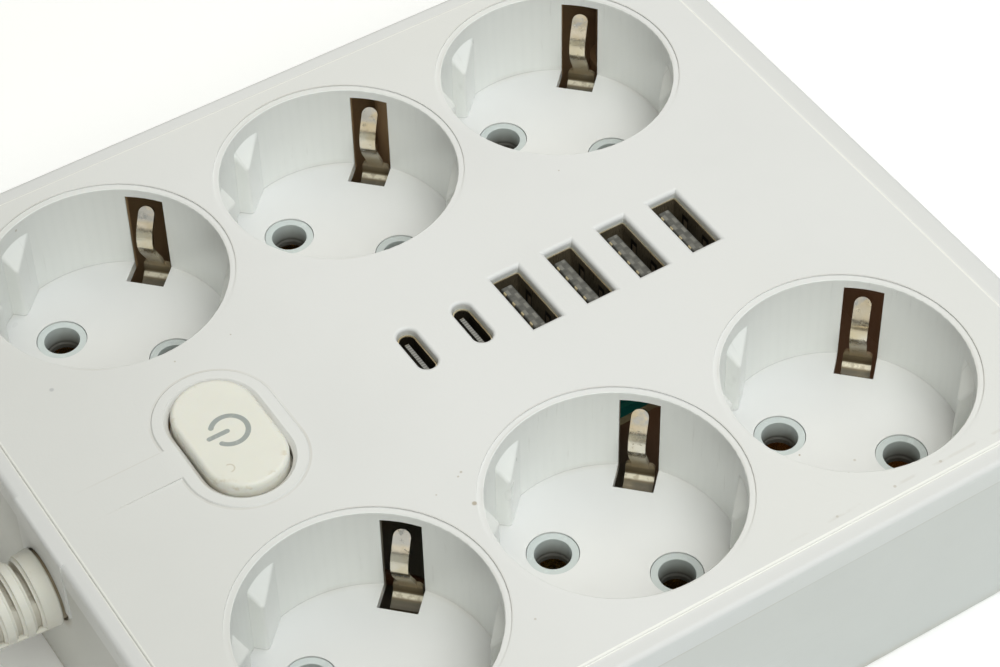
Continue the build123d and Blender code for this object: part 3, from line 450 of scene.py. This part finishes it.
t.set(
    Base_Color=col,
    Roughness=t.add(0.36, t.mul(t.sub(cloud, 0.5), 0.12), t.mul(mark, 0.1)),
    Normal=t.bump(t.add(grain, t.mul(mark, 0.5)), 0.16, 0.00004),
)
t.bsdf.inputs["Specular IOR Level"].default_value = 0.45
translucent(t, 0.15)
BUTTON = t.mat

# grey contact carriers: bosses flush with the well floors
t = Tree("carrier_plastic")
X, Y, Z = t.mm()
base = (0.560, 0.605, 0.600)
cloud = t.noise(90, 3, 0.6)
col = t.mix(t.step(cloud, 0.3, 0.7), base, shade(base, 0.93))
# painted shade: darker down the bore, near black at its bottom
dark = t.mul(t.step(Z, 20.25, 16.6), t.step(t.noise(300, 2), 0.3, 0.6, 0.8, 1.0), 0.80)
col = t.mix(dark, col, (0.13, 0.118, 0.095))
col = t.mix(t.step(Z, 17.6, 16.9, 0.0, 0.75), col, (0.060, 0.054, 0.045))
wear = t.mul(t.step(t.noise(700, 3, 0.6), 0.58, 0.70), t.step(Z, 20.2, 20.33), 0.35)
col = t.mix(wear, col, shade(base, 1.22))
t.set(
    Base_Color=col,
    Roughness=t.add(0.42, t.mul(t.sub(cloud, 0.5), 0.15)),
    Normal=t.bump(t.noise(2200, 2), 0.22, 0.00004),
)
t.bsdf.inputs["Specular IOR Level"].default_value = 0.4
GREY = t.mat


def soft_vinyl(name, base, rough=0.5, dirt=0.35, grain=1900):
    t = Tree(name)
    X, Y, Z = t.mm()
    cloud = t.noise(48, 4, 0.6)
    col = t.mix(t.step(cloud, 0.35, 0.7), base, tuple(c * k for c, k in zip(base, (0.965, 0.955, 0.92))))
    col = t.mix(t.mul(t.step(t.noise(190, 4, 0.62), 0.60, 0.74), dirt), col, (0.40, 0.33, 0.20))
    col = t.mix(t.mul(t.spots(120, 0.62, 0.0002), 0.35), col, GRIME)
    return t, col, cloud, rough, grain


def finish_vinyl(t, col, cloud, rough, grain, bump=0.25):
    t.set(
        Base_Color=col,
        Roughness=t.add(rough, t.mul(t.sub(cloud, 0.5), 0.14)),
        Normal=t.bump(t.add(t.noise(grain, 2, 0.5), t.mul(t.noise(420, 2), 0.4)), bump, 0.00005),
    )
    t.bsdf.inputs["Specular IOR Level"].default_value = 0.42
    translucent(t, 0.12)
    return t.mat


# strain relief: ivory vinyl, dirty in its slots and where it enters
t, col, cloud, rough, grain = soft_vinyl("boot_vinyl", (0.655, 0.645, 0.590))
X, Y, Z = t.mm()
out = t.hyp(Y, t.sub(Z, 24.9))
fit = t.sub(out, t.add(4.7, t.mul(t.m("POWER", t.mx(t.mul(t.add(X, 102.3), 1 / 27.55), 0.0), 1.25), 1.6)))
slot_dirt = t.mul(t.step(fit, -0.25, -0.9), t.step(X, -75.2, -76.0), t.step(t.noise(240, 3), 0.3, 0.6, 0.5, 1.0), 0.34)
entry = t.mul(t.step(X, -74.8, -74.65), t.step(t.noise(200, 3), 0.3, 0.6, 0.7, 1.0), 0.85)
col = t.mix(t.mx(slot_dirt, entry), col, (0.22, 0.155, 0.07))
BOOT = finish_vinyl(t, col, cloud, rough, grain)

# cord jacket: fine drawing lines are lost, only mottling and handling marks stay
t, col, cloud, rough, grain = soft_vinyl("cord_jacket", (0.790, 0.785, 0.735), 0.46, 0.22, 1500)
CORD = finish_vinyl(t, col, cloud, rough, grain, 0.3)
t, col, cloud, rough, grain = soft_vinyl("plug_vinyl", (0.795, 0.790, 0.735), 0.44, 0.25)
X, Y, Z = t.mm()
low = t.mul(t.step(Z, 0.2, 2.5, 1.0, 0.0), t.step(t.noise(80, 3), 0.35, 0.65), 0.35)
face = t.mul(t.step(Z, 31.3, 31.9), t.step(t.noise(160, 4, 0.6), 0.5, 0.68), 0.30)
col = t.mix(t.mx(low, face), col, DUST)
PLUG = finish_vinyl(t, col, cloud, rough, grain)


def plain(name, base, rough=0.45, spread=0.12, grain=1800, bump=0.2):
    """inner mouldings and covers: mottled colour, uneven sheen, fine grain."""
    t = Tree(name)
    cloud = t.noise(110, 4, 0.6)
    col = t.mix(t.step(cloud, 0.3, 0.72), base, shade(base, 1.0 - 1.6 * spread))
    col = t.mix(t.mul(t.step(t.noise(420, 3, 0.6), 0.60, 0.72), 0.18), col, DUST)
    t.set(
        Base_Color=col,
        Roughness=t.add(rough, t.mul(t.sub(t.noise(260, 3), 0.5), 0.22)),
        Normal=t.bump(t.noise(grain, 2), bump, 0.00004),
    )
    return t


DARK = plain("black_plastic", (0.032, 0.031, 0.030), 0.42).mat
TIE = plain("tie_strap", (0.036, 0.036, 0.038), 0.5, 0.15, 1400, 0.4).mat
WIRES = {
    "live": plain("wire_brown", (0.20, 0.085, 0.035), 0.4).mat,
    "neutral": plain("wire_blue", (0.045, 0.15, 0.46), 0.4).mat,
}
# earth wire: green with yellow stripes
t = Tree("wire_green")
X, Y, Z = t.mm()
stripe = t.m("FRACT", t.mul(t.add(X, t.mul(Z, 1.3), t.mul(t.noise(90, 2), 1.2)), 0.30))
col = t.mix(t.band(stripe, 0.5, 0.16, 0.05), (0.07, 0.30, 0.06), (0.75, 0.60, 0.05))
t.set(Base_Color=col, Roughness=t.add(0.36, t.mul(t.noise(300, 2), 0.12)), Normal=t.bump(t.noise(1500, 2), 0.2, 0.00004))
WIRES["earth"] = t.mat

# circuit board: green mask with lighter tracks and tinned pads
t = Tree("board_green")
X, Y, Z = t.mm()
track = t.mul(t.band(t.m("FRACT", t.mul(t.add(Y, t.mul(t.noise(60, 1), 3.0)), 0.42)), 0.5, 0.14, 0.05), t.step(t.noise(45, 2), 0.42, 0.5))
col = t.mix(track, (0.010, 0.215, 0.185), (0.03, 0.30, 0.24))
pads = t.spots(300, 0.72, 0.0006)
col = t.mix(pads, col, (0.62, 0.61, 0.57))
lip = t.mx(t.step(t.absv(t.sub(X, 16.5)), 32.85, 32.95), t.step(t.absv(Y), 18.35, 18.45))
col = t.mix(lip, col, (0.46, 0.40, 0.24))
t.set(
    Base_Color=col,
    Metallic=t.mul(pads, 0.9),
    Roughness=t.add(0.30, t.mul(t.noise(350, 2), 0.15)),
    Normal=t.bump(t.add(track, pads), 0.4, 0.00005),
    Emission_Color=col,
)
# painted light: the board glows faintly
t.bsdf.inputs["Emission Strength"].default_value = 0.02
BOARD = t.mat

# transformer: dark tape over the windings, ferrite ends
t = Tree("transformer_tape")
X, Y, Z = t.mm()
wrap = t.m("FRACT", t.mul(t.add(Z, t.mul(t.noise(80, 2), 0.4)), 0.8))
core = t.mx(t.step(Z, 10.6, 10.2), t.step(Z, 18.2, 18.6))
col = t.mix(t.band(wrap, 0.5, 0.3, 0.12), (0.26, 0.19, 0.045), (0.33, 0.25, 0.065))
col = t.mix(core, col, t.mix(t.step(t.noise(600, 3), 0.4, 0.6), (0.030, 0.029, 0.030), (0.05, 0.05, 0.052)))
t.set(Base_Color=col, Roughness=t.add(0.34, t.mul(core, 0.3), t.mul(t.noise(300, 2), 0.1)), Normal=t.bump(wrap, 0.25, 0.00008))
WINDING = t.mat


def metal(name, base, tint, rough, lines, mottle=150, low=None):
    """rolled sheet: drawn lines, blotches of thin plating, uneven polish."""
    t = Tree(name)
    X, Y, Z = t.mm()
    along = t.noise(1.0, 4, 0.62, t.vec(*[t.mul(v, k) for v, k in zip((X, Y, Z), lines)]))
    blot = t.noise(mottle, 4, 0.62)
    spot = t.noise(900, 3, 0.6)
    col = t.mix(t.step(blot, 0.36, 0.70), base, tint)
    col = t.mix(t.mul(t.step(spot, 0.60, 0.72), 0.45), col, shade(tint, 0.45))
    if low is not None:
        # painted shade: the lower blade is darker and browner
        col = t.mix(t.mul(t.step(Z, low[0], low[1]), t.step(blot, 0.25, 0.6, 0.55, 1.0)), col, low[2])
        # painted reflection: the folded foot is darkened in bands
        foot = t.mul(t.step(Z, 18.9, 17.9), t.step(Z, 12.0, 13.0), t.step(t.noise(1.0, 2, 0.5, t.vec(0.0, 0.0, t.mul(Z, 1.7))), 0.40, 0.60, 0.70, 0.95))
        col = t.mix(foot, col, (0.20, 0.155, 0.090))
        # painted highlight along its fold, with a painted dark reflection below
        col = t.mix(t.mul(t.band(Z, 16.75, 0.10, 0.25), t.step(spot, 0.35, 0.55, 0.45, 0.95)), col, (0.90, 0.85, 0.70))
        col = t.mix(t.mul(t.band(Z, 15.95, 0.25, 0.35), t.step(blot, 0.30, 0.55, 0.35, 0.80)), col, (0.085, 0.080, 0.065))
        dull = t.step(Z, 26.8, 23.4)
        # plugs have rubbed the tips to bare steel
        rubbed = t.mul(t.step(Z, 30.8, 31.5), t.step(t.noise(330, 3, 0.65), 0.42, 0.56))
        col = t.mix(t.mul(rubbed, 0.7), col, (0.60, 0.64, 0.68))
    else:
        dull = t.step(Z, -2.0, -1.0, 1.0, 0.0)
    t.set(
        Base_Color=col,
        Metallic=t.sub(1.0, t.mul(dull, 0.60)),
        Roughness=t.add(rough, t.mul(t.sub(along, 0.5), 0.28), t.mul(t.step(spot, 0.56, 0.72), 0.22), t.mul(dull, 0.22)),
        Normal=t.bump(t.add(along, t.mul(spot, 0.6)), 0.16, 0.00003),
    )
    return t.mat


CLIP = metal(
    "plated_clip", (0.86, 0.81, 0.70), (0.78, 0.68, 0.48), 0.17, (9.0, 9.0, 0.5), 170, (22.0, 18.5, (0.66, 0.53, 0.33))
)
PIN = metal("plated_pin", (0.84, 0.82, 0.77), (0.74, 0.70, 0.60), 0.20, (0.6, 0.6, 9.0))
BRASS = metal("brass_strip", (0.80, 0.60, 0.28), (0.66, 0.45, 0.18), 0.26, (0.5, 8.0, 8.0))
STEEL = metal("screw_steel", (0.60, 0.59, 0.57), (0.47, 0.45, 0.42), 0.30, (4.0, 4.0, 4.0))

# shells of the ports: bright plated rim, painted shade inside (dark brown, near black in the C ports), two spring
# windows painted near black in one long wall
t = Tree("port_shell")
X, Y, Z = t.mm()
u = t.sub(t.m("WRAP", t.sub(X, 10.15 - 4.975), 9.95, 0.0), 4.975)
drawn = t.noise(1.0, 3, 0.6, t.vec(t.mul(X, 6.0), t.mul(Y, 6.0), t.mul(Z, 0.5)))
blot = t.noise(240, 3, 0.6)
col = t.mix(t.step(blot, 0.34, 0.70), (0.21, 0.17, 0.115), (0.12, 0.098, 0.066))
col = t.mix(t.mul(t.step(drawn, 0.5, 0.72), 0.5), col, (0.06, 0.048, 0.03))
# painted shade: the C ports' shells are near black
col = t.mix(t.mul(t.step(X, 6.0, 5.0), 0.85), col, (0.012, 0.010, 0.008))
wall = t.mul(t.step(u, 1.9, 2.1), t.step(X, 5.0, 6.0))
window = t.mul(t.band(t.absv(Y), 2.8, 0.80, 0.12), t.band(Z, 33.4, 1.35, 0.2), wall)
finger = t.mul(t.band(t.absv(Y), 2.65, 0.42, 0.10), t.band(Z, 33.0, 0.85, 0.15), wall)
# painted shade: the spring windows are near black
col = t.mix(window, col, (0.012, 0.010, 0.008))
col = t.mix(finger, col, (0.30, 0.235, 0.165))
rim = t.step(Z, 35.95, 36.15)
col = t.mix(rim, col, t.mix(t.step(blot, 0.4, 0.65), (0.90, 0.80, 0.58), (0.80, 0.66, 0.42)))
t.set(
    Base_Color=col,
    Metallic=t.add(0.35, t.mul(rim, 0.6)),
    Roughness=t.add(0.30, t.mul(t.sub(drawn, 0.5), 0.25)),
    Normal=t.bump(t.add(drawn, t.mul(window, -1.5), t.mul(finger, 1.5)), 0.25, 0.00005),
)
SHELL = t.mat

# tongues in the ports: grey with the paler seats of the contacts in two rows
t = Tree("port_tongue")
X, Y, Z = t.mm()
u = t.sub(t.m("WRAP", t.sub(X, 10.15 - 4.975), 9.95, 0.0), 4.975)
cell = t.m("FRACT", t.mul(Y, 0.40))
row = t.step(u, -0.45, -0.35)
shift = t.m("FRACT", t.add(cell, t.mul(row, 0.5)))
seat = t.mul(t.band(shift, 0.5, 0.20, 0.05), t.mx(t.band(u, -0.90, 0.25, 0.08), t.band(u, 0.10, 0.25, 0.08)))
mott = t.noise(420, 3, 0.6)
col = t.mix(t.step(mott, 0.3, 0.7), (0.110, 0.110, 0.100), (0.070, 0.071, 0.066))
col = t.mix(t.mul(seat, t.step(mott, 0.3, 0.6, 0.45, 0.8)), col, (0.20, 0.196, 0.178))
dark = t.mul(t.band(shift, 0.02, 0.12, 0.06), 0.5)
col = t.mix(dark, col, (0.052, 0.052, 0.048))
brass = t.mul(t.band(u, -1.36, 0.10, 0.06), t.band(t.m("FRACT", t.mul(Y, 0.40)), 0.55, 0.12, 0.06))
col = t.mix(brass, col, (0.66, 0.55, 0.34))
t.set(Base_Color=col, Roughness=t.add(0.36, t.mul(mott, 0.2)), Normal=t.bump(t.add(seat, t.mul(mott, 0.3)), 0.4, 0.00006))
TONGUE = t.mat
t = Tree("port_tongue_small")
X, Y, Z = t.mm()
fine = t.band(t.m("FRACT", t.mul(Y, 2.0)), 0.5, 0.22, 0.06)
mott = t.noise(500, 3, 0.6)
col = t.mix(t.step(mott, 0.3, 0.7), (0.070, 0.070, 0.068), (0.045, 0.046, 0.046))
col = t.mix(t.mul(fine, t.step(t.absv(Y), 3.0, 2.8), t.step(Z, 35.5, 34.0), 0.8), col, (0.45, 0.38, 0.22))
col = t.mix(t.mul(t.step(Z, 35.2, 35.38), t.add(0.35, t.mul(fine, 0.55))), col, (0.30, 0.295, 0.28))
col = t.mix(t.mul(t.step(t.absv(Y), 3.1, 3.25), 0.8), col, (0.62, 0.50, 0.30))
t.set(Base_Color=col, Roughness=t.add(0.34, t.mul(mott, 0.2)), Normal=t.bump(t.add(fine, mott), 0.3, 0.00005))
TONGUE_C = t.mat

paint(LID, "top_cover")
paint(TRAY, "base_tray")
paint(BUTTON, "power_button")
paint(GREY, "contact_carrier_rear", "contact_carrier_front", "cord_clamp")
paint(BOOT, "cord_boot")
paint(PLUG, "plug_body")
paint(CLIP, "earth_strip_rear", "earth_strip_front")
paint(PIN, "plug_pin_1", "plug_pin_2", "plug_earth_contact")
paint(TIE, "cord_tie")
paint(BOARD, "usb_board")
paint(WINDING, "usb_transformer")
for n in NODES:
    if n.startswith(("live_strip", "neutral_strip")) or n == "switch_terminals":
        paint(BRASS, n)
    elif n.startswith(("usb_a_shell", "usb_c_shell")):
        paint(SHELL, n)
    elif n.endswith("screws"):
        paint(STEEL, n)
    elif n.startswith("usb_a_tongue"):
        paint(TONGUE, n)
    elif n.startswith("usb_c_tongue"):
        paint(TONGUE_C, n)
    elif n in ("switch_plunger", "switch_body", "usb_capacitor_1", "usb_capacitor_2"):
        paint(DARK, n)
    elif n.startswith("wire_"):
        paint(WIRES[n.split("_")[1]], n)

# ------------------------------------------------------------------ cord
CORD_D = 0.0072
COIL_LOW = 0.0008 + CORD_D / 2
LEAD = [
    (-0.1023, 0.0, BOOT_Z),
    (-0.1210, 0.0, BOOT_Z),
    (-0.1385, -0.0034, 0.0179),
    (-0.1560, -0.0099, 0.0086),
    (-0.1730, -0.0190, 0.0041),
    (-0.1885, -0.0280, COIL_LOW),
]
R_OUT, TURNS = 0.0490, None
hx, hy = -15.5, -9.0
hn = math.hypot(hx, hy)
COIL = Vector((LEAD[-1][0] + R_OUT * hy / hn, LEAD[-1][1] - R_OUT * hx / hn, 0))
LEAVE = math.radians(75)
first = math.atan2(LEAD[-1][1] - COIL.y, LEAD[-1][0] - COIL.x)
turns = (first - (LEAVE - 2 * math.pi * 6)) / (2 * math.pi)
PER = 18
grow = 1 / (0.75 + 0.25 * math.cos(2 * math.pi / PER))
count = round(turns * PER)
points = list(LEAD)
for i in range(1, count):
    k = turns * i / count
    r = (R_OUT - CORD_D * min(k, turns - k)) * (1 + (grow - 1) * min(1, i / 4, (count - i) / 4))
    rise = min(max((k - turns / 2 + 0.33) / 0.66, 0), 1)
    a = first - 2 * math.pi * k
    points.append((COIL.x + r * math.cos(a), COIL.y + r * math.sin(a), COIL_LOW + CORD_D * rise))
top = COIL_LOW + CORD_D
ax, ay = math.sin(LEAVE), -math.cos(LEAVE)
tx, ty = COIL.x + R_OUT * math.cos(LEAVE), COIL.y + R_OUT * math.sin(LEAVE)
for s, z in ((0, top), (0.010, top - 0.00085), (0.021, top - 0.0029), (0.032, 0.0075), (0.041, 0.0075)):
    points.append((tx + ax * s, ty + ay * s, z))

curve = bpy.data.curves.new("cord_line", "CURVE")
curve.dimensions = "3D"
spline = curve.splines.new("NURBS")
spline.points.add(len(points) - 1)
for p, q in zip(spline.points, points):
    p.co = (*q, 1.0)
spline.order_u = 3
spline.use_endpoint_u = True
spline.resolution_u = 8
curve.bevel_depth = CORD_D / 2
curve.bevel_resolution = 6
curve.use_fill_caps = True
cord_line = bpy.data.objects.new("cord_line", curve)
scene.collection.objects.link(cord_line)
curve.materials.append(CORD)
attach(cord_line, "housing")
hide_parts("cord", "cord_coil", "cord_tail")

# ------------------------------------------------------------------ floor
fm = Tree("floor")
X, Y, Z = fm.mm()
# painted shadow: the floor's glow is turned down over an area left of the housing
shady = fm.mul(
    fm.step(X, -95.0, -25.0, 1.0, 0.0), fm.step(X, -330.0, -180.0), fm.step(Y, 30.0, 110.0, 1.0, 0.0), fm.step(Y, -260.0, -110.0)
)
fm.set(
    Emission_Color=fm.mix(fm.mul(shady, 0.9), (1.0, 1.0, 1.04), (0.0, 0.0, 0.0)),
    Base_Color=fm.mix(fm.step(fm.noise(9, 2), 0.3, 0.7), (0.975, 0.975, 0.975), (0.985, 0.985, 0.985)),
    Roughness=0.9,
)
fm.bsdf.inputs["Specular IOR Level"].default_value = 0.1
fm.bsdf.inputs["Emission Strength"].default_value = 0.12
floor_mesh = bpy.data.meshes.new("floor")
floor_mesh.from_pydata([(-3, -3, 0), (3, -3, 0), (3, 3, 0), (-3, 3, 0)], [], [(0, 1, 2, 3)])
floor = bpy.data.objects.new("floor", floor_mesh)
floor_mesh.materials.append(fm.mat)
scene.collection.objects.link(floor)

# ------------------------------------------------------------------ light
world = bpy.data.worlds.new("studio")
scene.world = world
world.use_nodes = True
wt = world.node_tree
bg = wt.nodes["Background"]
bg.inputs[1].default_value = 0.08
coord = wt.nodes.new("ShaderNodeTexCoord")
parts = wt.nodes.new("ShaderNodeSeparateXYZ")
wt.links.new(coord.outputs["Generated"], parts.inputs[0])


def blend(value, lo, hi, a, b):
    r = wt.nodes.new("ShaderNodeMapRange")
    r.interpolation_type = "SMOOTHSTEP"
    r.inputs[1].default_value, r.inputs[2].default_value = lo, hi
    wt.links.new(value, r.inputs[0])
    m = wt.nodes.new("ShaderNodeMix")
    m.data_type = "RGBA"
    wt.links.new(r.outputs[0], m.inputs[0])
    for v, s in ((a, m.inputs[6]), (b, m.inputs[7])):
        if isinstance(v, tuple):
            s.default_value = (*v, 1.0)
        else:
            wt.links.new(v, s)
    return m.outputs[2]


sides = blend(parts.outputs[0], -0.8, 0.5, (0.84, 0.80, 0.68), (1.0, 1.0, 1.0))
sides = blend(parts.outputs[1], -0.9, 0.2, (0.93, 1.0, 1.02), sides)
wt.links.new(sides, bg.inputs[0])


def area(name, loc, target, size, power, colour=(1, 1, 1)):
    d = bpy.data.lights.new(name, "AREA")
    d.shape = "DISK"
    d.size = size
    d.energy = power
    d.color = colour
    o = bpy.data.objects.new(name, d)
    o.location = loc
    o.rotation_euler = (Vector(target) - Vector(loc)).to_track_quat("-Z", "Y").to_euler()
    scene.collection.objects.link(o)
    return o


area("right", (0.62, -0.30, 1.60), (0, 0, 0.02), 1.38, 11.1, (0.95, 1.0, 1.04))
area("front", (-0.26, -0.975, 1.495), (0, 0, 0.02), 1.42, 16.7, (1.0, 1.02, 0.95))
area("rear", (0.50, 0.60, 1.15), (0, 0, 0.02), 1.1, 4.3, (1.08, 1.0, 0.82))
area("low_left", (-0.99, -0.67, 0.68), (0, 0, 0.02), 0.62, 0.62, (1.0, 0.95, 0.84))
area("high_left", (-0.66, -0.27, 1.56), (0, 0, 0.02), 0.6, 0.35, (1.0, 0.97, 0.90))

# ------------------------------------------------------------------ camera
az, el, roll = (math.radians(v) for v in (-31.439, 47.53, -1.488))
back = Vector((math.sin(az) * math.cos(el), -math.cos(az) * math.cos(el), math.sin(el)))
right = Vector((math.cos(az), math.sin(az), 0))
up = back.cross(right)
right, up = (
    right * math.cos(roll) + up * math.sin(roll),
    up * math.cos(roll) - right * math.sin(roll),
)
eye = (Vector((2.883, -3.935, 0)) + back * 445.6) * 1.005 / 1000 + Vector((0, 0, 0.037))
cam_data = bpy.data.cameras.new("camera")
cam_data.sensor_fit = "HORIZONTAL"
cam_data.sensor_width = 36
cam_data.lens = 2918.947 * 36 / 1000
cam_data.clip_start, cam_data.clip_end = 0.01, 20
cam = bpy.data.objects.new("camera", cam_data)
cam.matrix_world = Matrix(
    (
        (right.x, up.x, back.x, eye.x),
        (right.y, up.y, back.y, eye.y),
        (right.z, up.z, back.z, eye.z),
        (0, 0, 0, 1),
    )
)
scene.collection.objects.link(cam)
scene.camera = cam

scene.view_settings.view_transform = "Standard"
scene.view_settings.look = "None"
scene.cycles.use_denoising = True
scene.cycles.max_bounces = 6
scene.cycles.diffuse_bounces = 5
